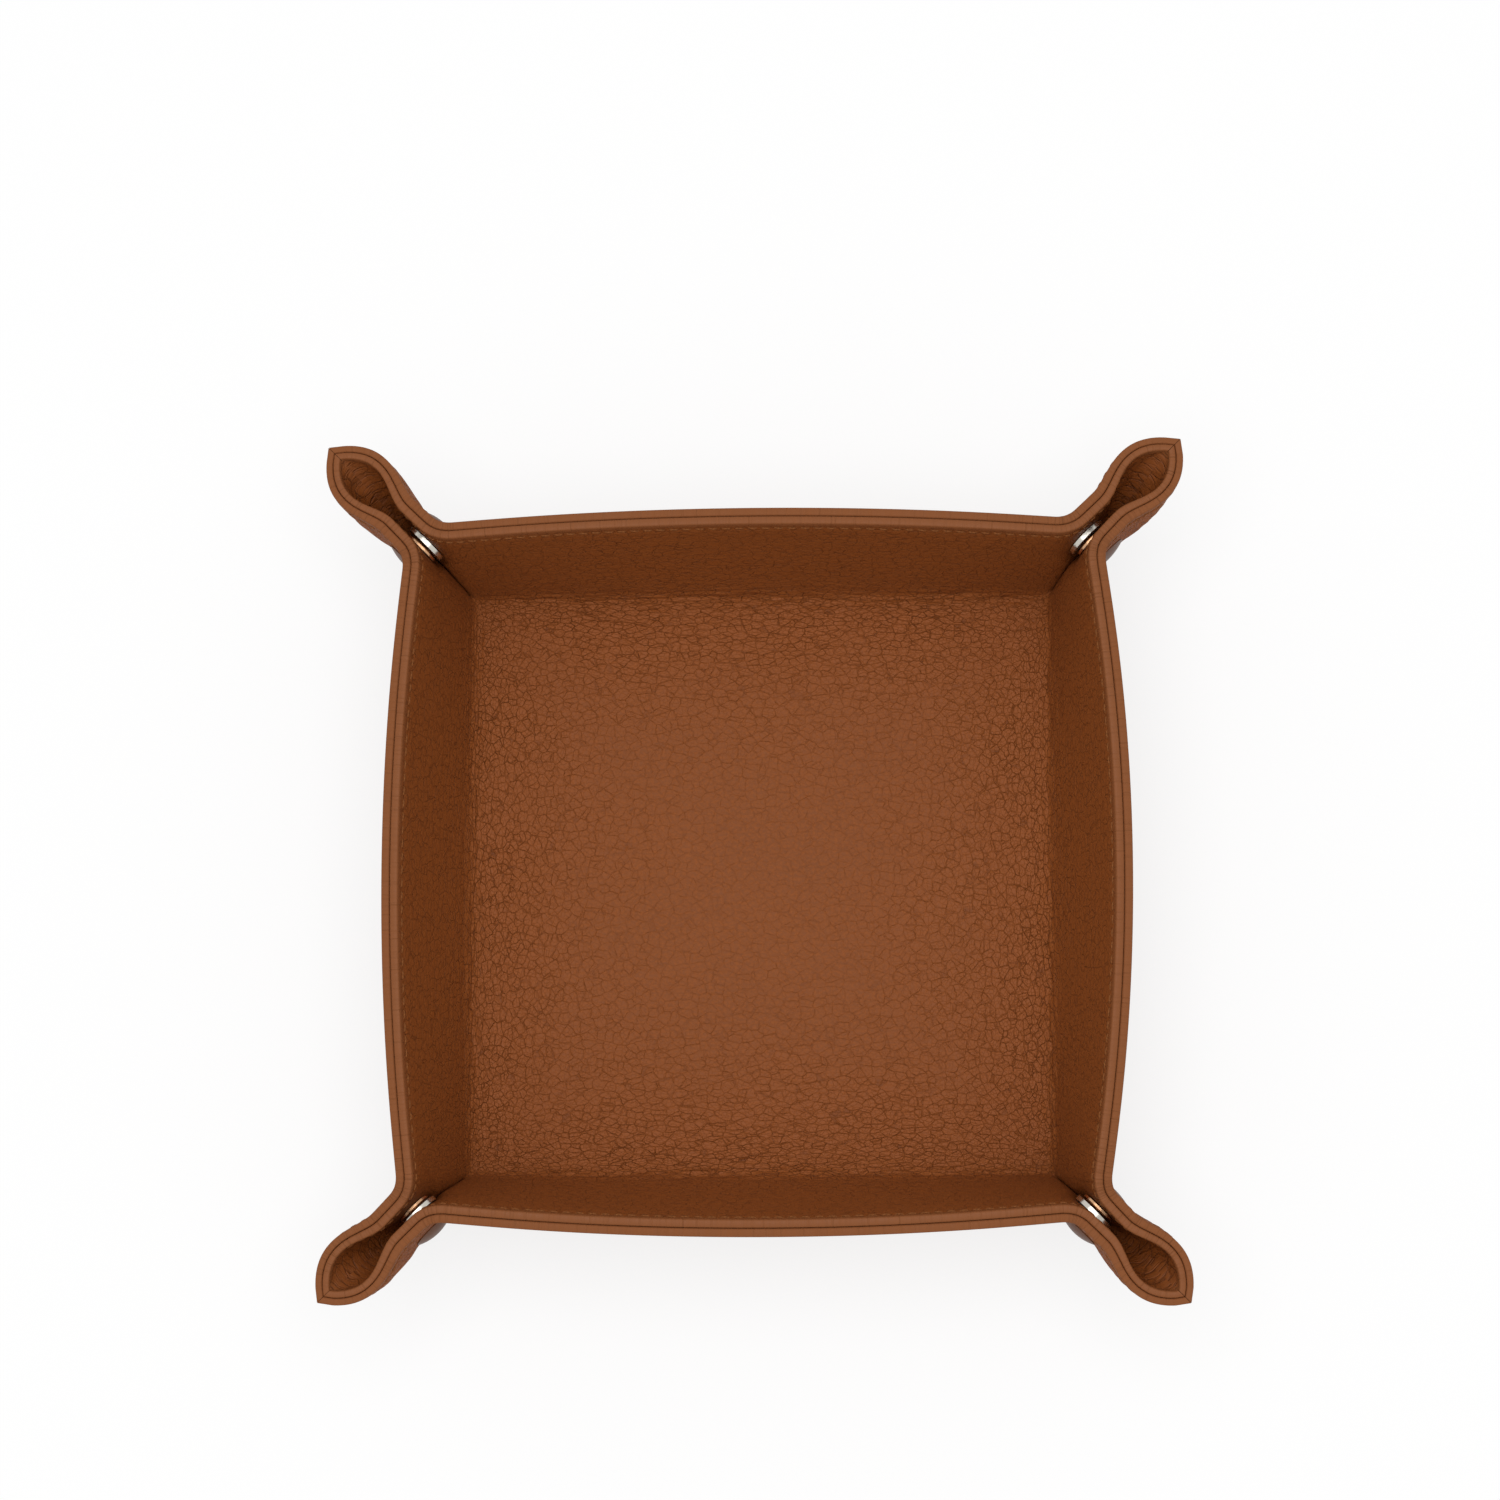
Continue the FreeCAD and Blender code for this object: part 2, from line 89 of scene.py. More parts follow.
# The fold under an ear runs at 45 degrees in the flat hide, the rim square to the wall's end
CREASE_SLANT = math.atan(END_LEAN / math.sqrt(1 + END_LEAN ** 2))
FOLD_RISE = 1 / math.tan(math.atan(EAR_LEAN) + math.pi / 4 - CREASE_SLANT)
KEEL_RISE = FOLD_RISE / (1 - EAR_LEAN * FOLD_RISE)
KEEL_SQUARE = math.cos(math.atan(FOLD_RISE)) * FOLD_RISE / KEEL_RISE
RIM_DROP = math.tan(math.atan(EAR_LEAN) - CREASE_SLANT)
RIM_FALL = RIM_DROP / (1 + EAR_LEAN * RIM_DROP)

# Outward along the diagonal of the front right corner
ALONG = np.array((1, -1, 0)) / ROOT2

# Middle of a snap: rise over the floor, and place along the diagonal past the ear's fold line
SNAP_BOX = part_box("socket_front_right")
SNAP_RISE = (SNAP_BOX[0].z + SNAP_BOX[1].z) / 2 - FLOOR_TOP
SNAP_REACH = ROOT2 * ((SNAP_BOX[0].x + SNAP_BOX[1].x - SNAP_BOX[0].y - SNAP_BOX[1].y) / 4
                      - HALF - END_LEAN * SNAP_RISE)


def length(label, meaning, size):
    """A length property, its default given in millimetres."""
    return FloatProperty(name=label, description=meaning, default=size * MM, unit="LENGTH")


class TraySizes(bpy.types.PropertyGroup):
    """Sizes of the leather and its trim that the frame doesn't hold."""

    front_bulge: length("Front bulge", "Lean of the front rim at mid-wall", 13.2)
    right_bulge: length("Right bulge", "Lean of the right rim at mid-wall", 16.5)
    back_bulge: length("Back bulge", "Lean of the back rim at mid-wall", 12.4)
    left_bulge: length("Left bulge", "Lean of the left rim at mid-wall", 14.5)
    belly: length("Belly", "Bow of a wall between fold and rim", 0.9)
    bend_radius: length("Bend", "Turn of a wall into an ear, at the rim", 13.0)
    ear_gap: length("Ear gap", "Half the room between the linings at the snap", 1.35)
    flare_start: length("Flare start", "End of the pinched part of an ear", 11.0)
    flare_gap: length("Flare gap", "Half opening of an ear at its widest", 3.9)
    crown: length("Crown", "Fold line to the widest part of an ear", 24.4)
    tip: length("Tip", "Fold line to the tip of the lining", 32.6)
    valley_depth: length("Valley", "Rounding at the bottom of an ear", 5.0)
    crease: length("Crease", "Rounding of the fold between floor and wall", 1.6)
    layer_gap: length("Groove", "Groove between the two leathers at the rim", 0.06)
    skive: length("Skive", "How much thinner the leathers are at an ear's crown", 0.9)
    stitch_pitch: length("Stitch pitch", "Stitch to stitch", 3.1)
    stitch_length: length("Stitch length", "One stitch on the surface", 2.4)
    stitch_drop: length("Stitch drop", "Rim to the stitch line", 3.3)
    thread: length("Thread", "Thickness of the thread", 0.55)


def colour(label, meaning, red, green, blue):
    """A colour property in scene-linear values."""
    return FloatVectorProperty(name=label, description=meaning, subtype="COLOR", size=4,
                               min=0.0, max=1.0, default=(red, green, blue, 1.0))


class TrayColours(bpy.types.PropertyGroup):
    """Colours of the finishes."""

    lining: colour("Lining", "Leather inside the tray", 0.193, 0.0535, 0.0102)
    outer: colour("Outer", "Leather outside the tray", 0.193, 0.0535, 0.0102)
    worn: colour("Worn", "Leather on worn edges", 0.222, 0.076, 0.025)
    # Crack: the cracks' own darker tone, used also as painted shade in the creases of the grain
    crack: colour("Crack", "Leather in the cracks of the grain", 0.068, 0.0165, 0.0028)
    thread: colour("Thread", "Stitching", 0.255, 0.088, 0.024)
    nickel: colour("Nickel", "Snap sockets", 0.60, 0.57, 0.51)
    copper: colour("Copper", "Snap studs", 0.62, 0.36, 0.20)
    lacquer: colour("Lacquer", "Caps and posts of the snaps", 0.115, 0.038, 0.012)
    wire: colour("Wire", "Spring rings", 0.50, 0.49, 0.47)
    board: colour("Board", "Stiffening board under the floor", 0.28, 0.22, 0.15)
    stage: colour("Stage", "Floor of the picture", 0.96, 0.96, 0.96)


def sizes():
    """The sizes now set in the scene."""
    return bpy.context.scene.tray_sizes


def colours():
    """The colours now set in the scene."""
    return bpy.context.scene.tray_colours


# Form of the ears: the closing tip, the turn from the wall and the fold underneath
TIP_POWER = 2.25
TIP_BLUNT = 0.88
BEND_GROWTH = 0.6
OUTER_TIGHTEST = 7.5 * MM
VALLEY_SHARE = 0.6
FOLD_CRISP = 9.0 * MM
FOLD_DEEP = 14.0 * MM
SLIVER = 0.02 * MM

# Room round a snap, and how nearly the linings shut below it
SNAP_ROOM = 6.3 * MM
SNAP_FADE = 3.5 * MM
SHUT = 0.96

# Rounding of the rims, the ends of a bulge and the corners of the floor
RIM_SQUARE = 0.55
BULGE_SOFT = 0.25
BULGE_END = 1.0 * MM
CORNER_FADE = 2.5 * MM
NOOK_RISE = 4.0 * MM

# Cuts between walls and ears, the stretch that bends at a joint, and counts of the grids
WALL_END = HALF - 17.0 * MM
WALL_COLUMNS = 170
EAR_COLUMNS = 84
FACE_ROWS = 60
HIDDEN_ROWS = 8
ROW_POWER = 1.5
RIM_STEPS = 9
FLOOR_CELLS = 190
STITCH_STATIONS = 7
STITCH_RING = 6

# Wrinkles: heights, where they start and end, lengths of the waves, and seeds
WAVES = 14
WRINKLE = 0.42 * MM
WRINKLE_REACH = 3.2 * MM
WRINKLE_END = 8.0 * MM
WRINKLE_WAVES = (15.0 * MM, 4.0 * MM)
WRINKLE_SEED = 11
TIP_WRINKLE = 0.16 * MM
TIP_START = 0.6
TIP_RIM = 4.0 * MM
TIP_WAVES = (5.0 * MM, 7.0 * MM)
TIP_SEED = 31
FLOOR_WAVE = 0.18 * MM
FLOOR_INSET = 20.0 * MM
FLOOR_WAVES = (70.0 * MM, 70.0 * MM)
FLOOR_SEED = 5

# Groove that the stitches lie in, and the form of a stitch in shares of its thread
GROOVE = 0.22 * MM
GROOVE_WIDTH = 0.7 * MM
GROOVE_ROOM = 9.0 * MM
STITCH_TAPER = 0.8
STITCH_SINK = 0.60
STITCH_DIVE = 0.55
STITCH_SLANT = 0.35

# Strength of grain, streaks and wear over the leather; grain and streaks also carry painted light,
# the streaks lightening the walls
GATHER = 1.2
GATHER_REACH = 14.0 * MM
WALL_GRAIN = 0.72
FOLD_GRAIN_REACH = 6.0 * MM
RIM_GRAIN = 0.55
RIM_GRAIN_REACH = 1.5 * MM
FLOOR_GRAIN = 0.25
EDGE_GRAIN = ((0.52, 38.0 * MM), (0.23, 14.0 * MM))
STREAK_START = 3.0 * MM
STREAK_STOP = 1.0 * MM
OUTER_STREAK = 0.5
WEAR_REACH = 1.2 * MM
TIP_WEAR = 0.4

# The two layers of the hide, each with the least radius of its turn into an ear
LAYERS = (("lining", 0.0), ("outer", OUTER_TIGHTEST))


def ease(t):
    """Smooth step from 0 to 1."""
    t = np.clip(t, 0, 1)
    return t * t * (3 - 2 * t)


def rounded(x, radius):
    """Ramp, 0 for low x and x for high x, with a hyperbola of that radius round its corner."""
    return (x + np.sqrt(x * x + radius * radius)) / 2


def ripple(u, v, wave_u, wave_v, seed):
    """Smooth bumps of height about 1: a sum of sines with drawn directions and phases."""
    draw = np.random.default_rng(seed)
    total = np.zeros(np.broadcast(u, v).shape)
    for across, up, phase in draw.normal(size=(WAVES, 3)):
        total += np.sin(2 * math.pi * (across * u / wave_u + up * v / wave_v + phase))
    return total / math.sqrt(WAVES)


def turned(points, step):
    """Points of the front wall's frame turned by quarter turns to another wall."""
    x, y = points[..., 0], points[..., 1]
    turns = ((x, y), (-y, x), (-x, -y), (y, -x))
    return np.stack(turns[step % 4] + tuple(np.moveaxis(points[..., 2:], -1, 0)), -1)


def unit(vectors):
    """Vectors scaled to length 1."""
    return vectors / np.linalg.norm(vectors, axis=-1, keepdims=True)


class Hide:
    """Lining face of one wall and its two ears, as a surface over p and t.

    The level arcs that join wall and ears have a radius of at least tightest.
    """

    NUDGE = 1e-5

    def __init__(self, step, tightest=0.0):
        self.z = sizes()
        self.step = step
        self.tightest = tightest
        self.edge = (LINING - self.z.layer_gap) / 2
        self.bulge = getattr(self.z, WALLS[step] + "_bulge") - END_OUT
        self.tip_lift = self.rim(self.z.tip) - self.edge - KEEL_RISE * self.z.tip

    def reach(self, p):
        """Place along the diagonal: past the ear's fold line, or negative back along the wall."""
        past = np.abs(p) - HALF
        return np.where(past > 0, past, past / ROOT2)

    def rim(self, s):
        """Rise of the rim, level on the wall and falling slowly along an ear."""
        return RIM_RISE - RIM_FALL * np.maximum(s, 0)

    def valley(self, s):
        """Rise of the fold under an ear: a straight slope that turns up to the rim at the tip."""
        s = np.maximum(s, 0)
        return KEEL_RISE * s + self.tip_lift * (s / self.z.tip) ** 4

    def span(self, p):
        """Diagonal place of p, with the lowest and highest rise of the leather there."""
        s = self.reach(p)
        low = self.valley(s)
        return s, low, np.maximum(self.rim(s) - self.edge, low + SLIVER)

    def flare(self, s):
        """Smooth step from 0 in the pinched part of an ear to 1 at its crown."""
        return ease((s - self.z.flare_start) / (self.z.crown - self.z.flare_start))

    def near_crown(self, s):
        """Smooth step from 0 on the inner part of an ear to 1 at its crown."""
        return ease((s / self.z.crown - TIP_START) / (1 - TIP_START))

    def thinner(self, s, depth):
        """Depth in the stack, with the skive taken off the lining face and none off the outer."""
        return depth + self.z.skive * self.flare(s) * (1 - depth / STACK)

    def shut(self, s, rise):
        """1 below a snap, which draws the linings together, and 0 at the snap and above it."""
        away = np.hypot(s - SNAP_REACH, rise - SNAP_RISE)
        return ease((away - SNAP_ROOM) / SNAP_FADE) * ease((SNAP_RISE - rise) / SNAP_ROOM)

    def opening(self, s, rise, hollow):
        """Half the room between the two linings across the diagonal.

        The gap of an ear is nearly shut below the snap, flares to the crown and closes in a
        point, and narrows to its bottom as hollow says. A level arc, wider towards the rim,
        joins it to the wall's line.
        """
        z = self.z
        past = np.clip((s - z.crown) / (z.tip - z.crown), 0, 1)
        pinch = z.ear_gap * (1 - SHUT * self.shut(s, rise))
        gap = (pinch + (z.flare_gap - pinch) * self.flare(s)) * (1 - past ** TIP_POWER)
        gap = gap * hollow
        bend = np.maximum(z.bend_radius * (rise / RIM_RISE) ** BEND_GROWTH, self.tightest)
        end = bend * (ROOT2 - 1) - gap
        back = np.clip(end - s, 0, bend / ROOT2)
        arc = gap + bend - np.sqrt(bend ** 2 - back ** 2)
        return np.where(end - s > bend / ROOT2, -s, arc)

    def face(self, p, t):
        """Point of the lining face.

        The wall is straight from fold to rim but for a slight belly, leans out more at its
        middle, and ends in the corner's own frame of diagonal place, opening and rise. The
        fold under an ear starts as a deep V and turns into a quarter ellipse. Rounded ramps
        soften the fold at the floor and the floor's corners.
        """
        z = self.z
        s, low, high = self.span(p)
        up = (high - low) * t
        rise = np.maximum(low + up, 0)
        round_part = ease(s / FOLD_CRISP)
        depth = z.valley_depth + FOLD_DEEP * (1 - round_part)
        depth = np.minimum(depth, VALLEY_SHARE * KEEL_SQUARE * (high - low))
        above = np.clip(KEEL_SQUARE * up / depth, 0, 1)
        hollow = above + (np.sqrt(1 - (1 - above) ** 2) - above) * round_part
        n = self.opening(s, rise, hollow)
        across = np.abs(p) / HALF
        share = np.minimum(across, 1)
        follow = share * (3 - share ** 2) / 2
        swell = rounded(1 - across ** 2, BULGE_SOFT)
        out = swell * (self.bulge * rise / RIM_RISE + z.belly * np.sin(math.pi * rise / RIM_RISE))
        out = out * (1 - (1 - above) * ease(s / BULGE_END))
        fade = np.exp(-(np.maximum(s, 0) / CORNER_FADE) ** 2)
        fillet = rounded(-up, z.crease) * fade
        nook = np.where(s > 0, z.crease / 2, rounded(np.abs(p) - HALF, z.crease))
        nook = nook * fade * np.exp(-(up / NOOK_RISE) ** 2)
        x = HALF + (s - n) / ROOT2 + END_LEAN * rise * follow - nook
        y = -HALF - (s + n) / ROOT2 - END_LEAN * rise - out + fillet
        points = (np.where(p < 0, -x, x), y, FLOOR_TOP + rise + fillet + nook)
        return np.stack(np.broadcast_arrays(*points), -1)

    def axes(self, p, t):
        """Point, way up the hide and outward normal, by small differences."""
        nudge_p = self.NUDGE * HALF
        low_t = np.maximum(t - self.NUDGE, 0)
        along = unit(self.face(p + nudge_p, t) - self.face(p - nudge_p, t))
        up = unit(self.face(p, t + self.NUDGE) - self.face(p, low_t))
        return self.face(p, t), up, unit(np.cross(along, up))


def drawn(c):
    """Hide coordinate with the grain drawn together across the fold at HALF.

    The map runs faster than the leather by GATHER at the fold, dying off over GATHER_REACH.
    """
    past = np.abs(c) - HALF
    fall = np.exp(-np.abs(past) / GATHER_REACH)
    return np.sign(c) * (np.abs(c) + GATHER * GATHER_REACH * np.where(past < 0, fall, 2 - fall))


def fold_wrinkles(u, v, step):
    """Height of the crumpled grain at a fold: u along it, v up the wall, negative on the floor."""
    ends = 1 - ease((np.abs(u) - HALF + WRINKLE_END) / WRINKLE_END)
    fade = np.exp(-np.abs(v) / WRINKLE_REACH) * ends
    return WRINKLE * fade * ripple(u, v, *WRINKLE_WAVES, WRINKLE_SEED + step)


def tube_faces(columns, loop, tubes=1, flat_foot=True):
    """Faces of like tubes: quads round a closed loop carried over columns, then the end caps.

    Says too which faces are flat: the caps, and with flat_foot the last quad of each ring.
    """
    i, j = np.meshgrid(np.arange(columns - 1), np.arange(loop), indexing="ij")
    after = (j + 1) % loop
    corners = (i * loop + j, (i + 1) * loop + j, (i + 1) * loop + after, i * loop + after)
    ring = np.arange(loop)
    start = columns * loop * np.arange(tubes)[:, None, None]
    quads = start + np.stack(corners, -1).reshape(-1, 4)
    caps = start + np.stack((ring, columns * loop - 1 - ring))
    foot = np.tile((j == loop - 1).ravel() & flat_foot, tubes)
    faces = quads.reshape(-1, 4).tolist() + caps.reshape(-1, loop).tolist()
    return faces, np.append(foot, np.ones(2 * tubes, bool))


def add_piece(name, points, faces, flat, material, maps, **attributes):
    """Mesh object at the origin, smooth but for the flat faces, with its maps and attributes."""
    mesh = bpy.data.meshes.new(name)
    mesh.from_pydata(points.reshape(-1, 3), [], faces)
    mesh.polygons.foreach_set("use_smooth", ~flat)
    corners = np.zeros(len(mesh.polygons), np.int32)
    mesh.polygons.foreach_get("loop_total", corners)
    corner_edge = np.zeros(len(mesh.loops), np.int32)
    mesh.loops.foreach_get("edge_index", corner_edge)
    sharp = np.zeros(len(mesh.edges), bool)
    sharp[corner_edge[np.repeat(flat, corners)]] = True
    mesh.edges.foreach_set("use_edge_sharp", sharp)
    corner_vertex = np.zeros(len(mesh.loops), np.int32)
    mesh.loops.foreach_get("vertex_index", corner_vertex)
    for label, uv in maps.items():
        mesh.uv_layers.new(name=label)
        laid = uv.reshape(-1, 2)[corner_vertex].astype(np.float32)
        mesh.uv_layers[label].uv.foreach_set("vector", laid.ravel())
    for label, values in attributes.items():
        filled = np.broadcast_to(values, points.shape[:-1]).astype(np.float32)
        mesh.attributes.new(label, "FLOAT", "POINT").data.foreach_set("value", filled.ravel())
    mesh.materials.append(material)
    if mesh.validate():
        raise RuntimeError("bad mesh: " + name)
    piece = bpy.data.objects.new(name, mesh)
    bpy.context.scene.collection.objects.link(piece)
    return piece


def rim_loop(inner, outer, rows_inner, rows_outer):
    """Closed loop of a leather strip: t, depth from the lining face and lift over the rim.

    It goes up the outer side, over the rim and down the inner side. The rim is half of a
    squared circle, whose sine and cosine are raised to the power RIM_SQUARE.
    """
    arc = np.linspace(0, math.pi, RIM_STEPS + 2)[1:-1]
    across = np.sign(np.cos(arc)) * np.abs(np.cos(arc)) ** RIM_SQUARE
    edge = (outer - inner) / 2
    up = np.linspace(0, 1, rows_outer) ** ROW_POWER
    down = np.linspace(1, 0, rows_inner) ** ROW_POWER
    t = np.concatenate((up, np.ones(RIM_STEPS), down))
    depth = np.concatenate((np.full(rows_outer, outer), inner + edge + edge * across,
                            np.full(rows_inner, inner)))
    lift = np.concatenate((np.zeros(rows_outer), edge * np.sin(arc) ** RIM_SQUARE,
                           np.zeros(rows_inner)))
    return t, depth, lift


def strip_relief(hide, lining, p, s, height, to_rim):
    """Swelling of the shown face: crumples on ear tips and folds, less the stitches' groove."""
    crumple = TIP_WRINKLE * hide.near_crown(s) * ease(to_rim / TIP_RIM)
    relief = crumple * ripple(p, height, *TIP_WAVES, TIP_SEED + hide.step)
    if lining:
        relief = relief + fold_wrinkles(p, height, hide.step) * (s < 0)
    off_line = to_rim - (hide.z.stitch_drop - hide.edge)
    groove = GROOVE * np.exp(-(off_line / GROOVE_WIDTH) ** 2)
    return relief - groove * ease((height + to_rim) / GROOVE_ROOM)


def strip_finish(hide, lining, s, height, to_rim):
    """Wear, grain and streaks: wear at rims and tips, deeper grain at folds and crowns, and streaks
    on the walls that also paint light there.
    """
    z = hide.z
    at_tip = ease((s - z.crown) / (z.tip - z.crown))
    wear = np.maximum(np.exp(-to_rim / WEAR_REACH), TIP_WEAR * at_tip)
    creased = np.exp(-height / FOLD_GRAIN_REACH) * (s < 0) + hide.near_crown(s)
    grain = WALL_GRAIN + (1 - WALL_GRAIN) * creased
    grain = grain * (RIM_GRAIN + (1 - RIM_GRAIN) * ease(to_rim / RIM_GRAIN_REACH))
    streak = ease(height / STREAK_START) * ease(to_rim / STREAK_STOP)
    return {"wear": wear, "grain": grain, "streak": streak * (1.0 if lining else OUTER_STREAK)}


def leather_strip(name, hide, p, lining, material, tip=None):
    """One layer of the hide over the columns p, as a closed strip with a rounded rim.

    Each point is the lining face plus depth along the normal plus lift up the wall. The
    column at an ear's tip is mitred: its depth goes along the diagonal.
    """
    z = hide.z
    if lining:
        inner, outer, rows = 0.0, LINING - z.layer_gap, (FACE_ROWS, HIDDEN_ROWS)
    else:
        inner, outer, rows = LINING, STACK, (HIDDEN_ROWS, FACE_ROWS)
    t, depth, lift = rim_loop(inner, outer, *rows)
    grid_p, grid_t = np.meshgrid(p, t, indexing="ij")
    point, up, normal = hide.axes(grid_p, grid_t)
    s, low, high = hide.span(grid_p)
    height = (high - low) * grid_t
    to_rim = high - low - height
    if tip is not None:
        closing = TIP_POWER * z.flare_gap / (z.tip - z.crown)
        mitre = TIP_BLUNT * math.hypot(1, closing) / closing
        normal[tip] = ALONG * (np.sign(p[tip]), 1, 1) * mitre
    shown = depth == (inner if lining else outer)
    relief = strip_relief(hide, lining, grid_p, s, height, to_rim)
    push = np.where(shown, relief, 0) * (-1 if lining else 1)
    points = point + normal * (hide.thinner(s, depth) + push)[..., None] + up * lift[:, None]
    uv = turned(np.stack((drawn(grid_p), -drawn(HALF + low + height)), -1), hide.step)
    faces, flat = tube_faces(*points.shape[:2])
    maps = {"hide": uv, "run": np.stack((grid_p, height + hide.step * HALF), -1)}
    return add_piece(name, turned(points, hide.step), faces, flat, material, maps,
                     **strip_finish(hide, lining, s, height, to_rim))


def floor_panel(name, lining, material):
    """One layer of the floor: a square sheet whose edges turn up into the folds.

    With d the distance to an edge, the sheet is drawn in and lifted by the rounded ramp of
    minus d, for each of the four edges.
    """
    z = sizes()
    shown = HALF * np.sin(np.linspace(-math.pi / 2, math.pi / 2, FLOOR_CELLS + 1))
    hidden = np.linspace(-HALF, HALF, HIDDEN_ROWS)
    if lining:
        rows, depth = np.concatenate((shown, hidden[::-1])), (0.0, LINING - z.layer_gap)
        top_rows = len(shown)
    else:
        rows, depth = np.concatenate((hidden, shown[::-1])), (LINING, STACK)
        top_rows = len(hidden)
    x, y = np.meshgrid(shown, rows, indexing="ij")

    def face(x, y):
        """Point of the lining's smooth face."""
        right, left = rounded(x - HALF, z.crease), rounded(-x - HALF, z.crease)
        back, front = rounded(y - HALF, z.crease), rounded(-y - HALF, z.crease)
        top = FLOOR_TOP + right + left + back + front
        return np.stack((x - right + left, y - back + front, top), -1)

    nudge = Hide.NUDGE * HALF
    along_x = face(x + nudge, y) - face(x - nudge, y)
    along_y = face(x, y + nudge) - face(x, y - nudge)
    normal = unit(np.cross(along_x, along_y))
    on_top = np.arange(len(rows)) < top_rows
    inset = HALF - np.maximum(np.abs(x), np.abs(y))
    push = np.zeros_like(x)
    if lining:
        for step in range(4):
            across = turned(np.stack((x, y), -1), -step)
            push = push + fold_wrinkles(across[..., 0], -(across[..., 1] + HALF), step)
        wavy = FLOOR_WAVE * ripple(x, y, *FLOOR_WAVES, FLOOR_SEED)
        push = push + wavy * ease(inset / FLOOR_INSET)
        push = push * on_top
    points = face(x, y) + normal * (push - np.where(on_top, depth[0], depth[1]))[..., None]
    # More grain towards the floor's edges: deeper cracks, and pebbles lightened there as painted
    # light
    at_edge = (gain * np.exp(-(inset / reach) ** 2) for gain, reach in EDGE_GRAIN)
    grain = FLOOR_GRAIN + sum(at_edge)
    faces, flat = tube_faces(*points.shape[:2])
    flat_map = np.stack((x, y), -1)
    maps = {"hide": drawn(flat_map), "run": flat_map}
    return add_piece(name, points, faces, flat, material, maps,
                     wear=0.0, grain=grain, streak=0.0)


def stitch_row(name, hide, places, outside, material):
    """Stitches on one side of the hide, each a thread tube whose ends dip into the leather.

    Along a stitch, u from -1 to 1, the tube thins as the root of 1 less a share of u^4, sinks
    as u^4 and slants in proportion to u.
    """
    z = hide.z
    u = np.linspace(-1, 1, STITCH_STATIONS)
    phi = np.linspace(0, 2 * math.pi, STITCH_RING, endpoint=False)
    p = places[:, None] + u * z.stitch_length / 2
    s, low, high = hide.span(p)
    line = (high - low - z.stitch_drop + hide.edge) / (high - low)
    point, up, normal = hide.axes(p, line)
    base = point + normal * hide.thinner(s, STACK if outside else 0.0)[..., None]
    outward = normal if outside else -normal
    thick = z.thread / 2 * np.sqrt(1 - STITCH_TAPER * u ** 4)
    sink = z.thread * (STITCH_SINK + STITCH_DIVE * u ** 4)
    slant = z.thread * STITCH_SLANT * u
    centre = base + outward * (z.thread / 2 - sink)[:, None] + up * slant[:, None]
    ring = up[:, :, None] * np.cos(phi)[:, None] + outward[:, :, None] * np.sin(phi)[:, None]
    points = centre[:, :, None] + ring * thick[:, None, None]
    if not outside:
        points = points[:, :, ::-1]
    faces, flat = tube_faces(STITCH_STATIONS, STITCH_RING, len(places), False)
    uv = np.stack(np.broadcast_arrays(p[..., None], phi * z.thread / 2), -1)
    return add_piece(name, turned(points, hide.step), faces, flat, material, {"hide": uv})


def stitch_places(low, high):
    """Middles of the stitches between two places of p, on one pitch over the whole hide."""
    pitch = sizes().stitch_pitch
    return np.arange(math.ceil(low / pitch), math.floor(high / pitch) + 1) * pitch


def ear_columns(sign):
    """Columns of an ear from its wall to the tip, closer together towards the tip."""
    run = HALF + sizes().tip - WALL_END
    p = WALL_END + run * (1 - (1 - np.linspace(0, 1, EAR_COLUMNS)) ** 2)
    return p if sign > 0 else -p[::-1]


def bend_with_ear(piece):
    """Bake a piece's placement into its mesh, leaving it at the origin."""
    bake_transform(piece)


def ears_of(step):
    """The two ears of a wall, as sign of p and neighbour."""
    return (1, WALLS[(step + 1) % 4]), (-1, WALLS[(step - 1) % 4])


def new_material(name, roughness, metallic=0.0, specular=0.5):
    """Material with its node tree and principled shader."""
    material = bpy.data.materials.new(name)
    material.use_nodes = True
    tree = material.node_tree
    shader = tree.nodes["Principled BSDF"]
    shader.inputs["Roughness"].default_value = roughness
    shader.inputs["Metallic"].default_value = metallic
    shader.inputs["Specular IOR Level"].default_value = specular
    return material, tree, shader


def add_node(tree, kind, settings=None, **inputs):
    """Node with settings on itself and values or links on its inputs, by name or place."""
    made = tree.nodes.new("ShaderNode" + kind)
    for key, value in (settings or {}).items():
        setattr(made, key, value)
    for key, value in inputs.items():
        numbered = key[0] == "i" and key[1:].isdigit()
        socket = made.inputs[int(key[1:]) if numbered else key.replace("_", " ")]
        if isinstance(value, bpy.types.NodeSocket):
            tree.links.new(value, socket)
        else:
            socket.default_value = value
    return made


def maths(tree, operation, a, b):
    """Sum, difference or the like of two values or sockets."""
    return add_node(tree, "Math", {"operation": operation}, i0=a, i1=b).outputs[0]


def product(tree, a, b):
    """Product of two values or sockets."""
    return maths(tree, "MULTIPLY", a, b)


def mixed(tree, share, a, b):
    """Colour between a and b."""
    made = add_node(tree, "Mix", {"data_type": "RGBA"}, i0=share, i6=a, i7=b)
    return made.outputs[2]


def spread(tree, value, low, high, to_low=0.0, to_high=1.0):
    """Value moved from one range to another with soft ends."""
    made = add_node(tree, "MapRange", {"interpolation_type": "SMOOTHSTEP"}, Value=value,
                    From_Min=low, From_Max=high, To_Min=to_low, To_Max=to_high)
    return made.outputs[0]


def shade(base, factor):
    """A colour made darker or lighter."""
    return tuple(min(1.0, c * factor) for c in base[:3]) + (1.0,)


def bumped(tree, shader, height, strength, distance):
    """Bump the shader's normal by a height of that distance."""
    bump = add_node(tree, "Bump", Height=height, Strength=strength, Distance=distance)
    tree.links.new(bump.outputs[0], shader.inputs["Normal"])


def object_noise(tree, scale, detail):
    """Noise on the object's own coordinates."""
    coords = add_node(tree, "TexCoord").outputs["Object"]
    return add_node(tree, "TexNoise", Vector=coords, Scale=scale, Detail=detail).outputs["Fac"]


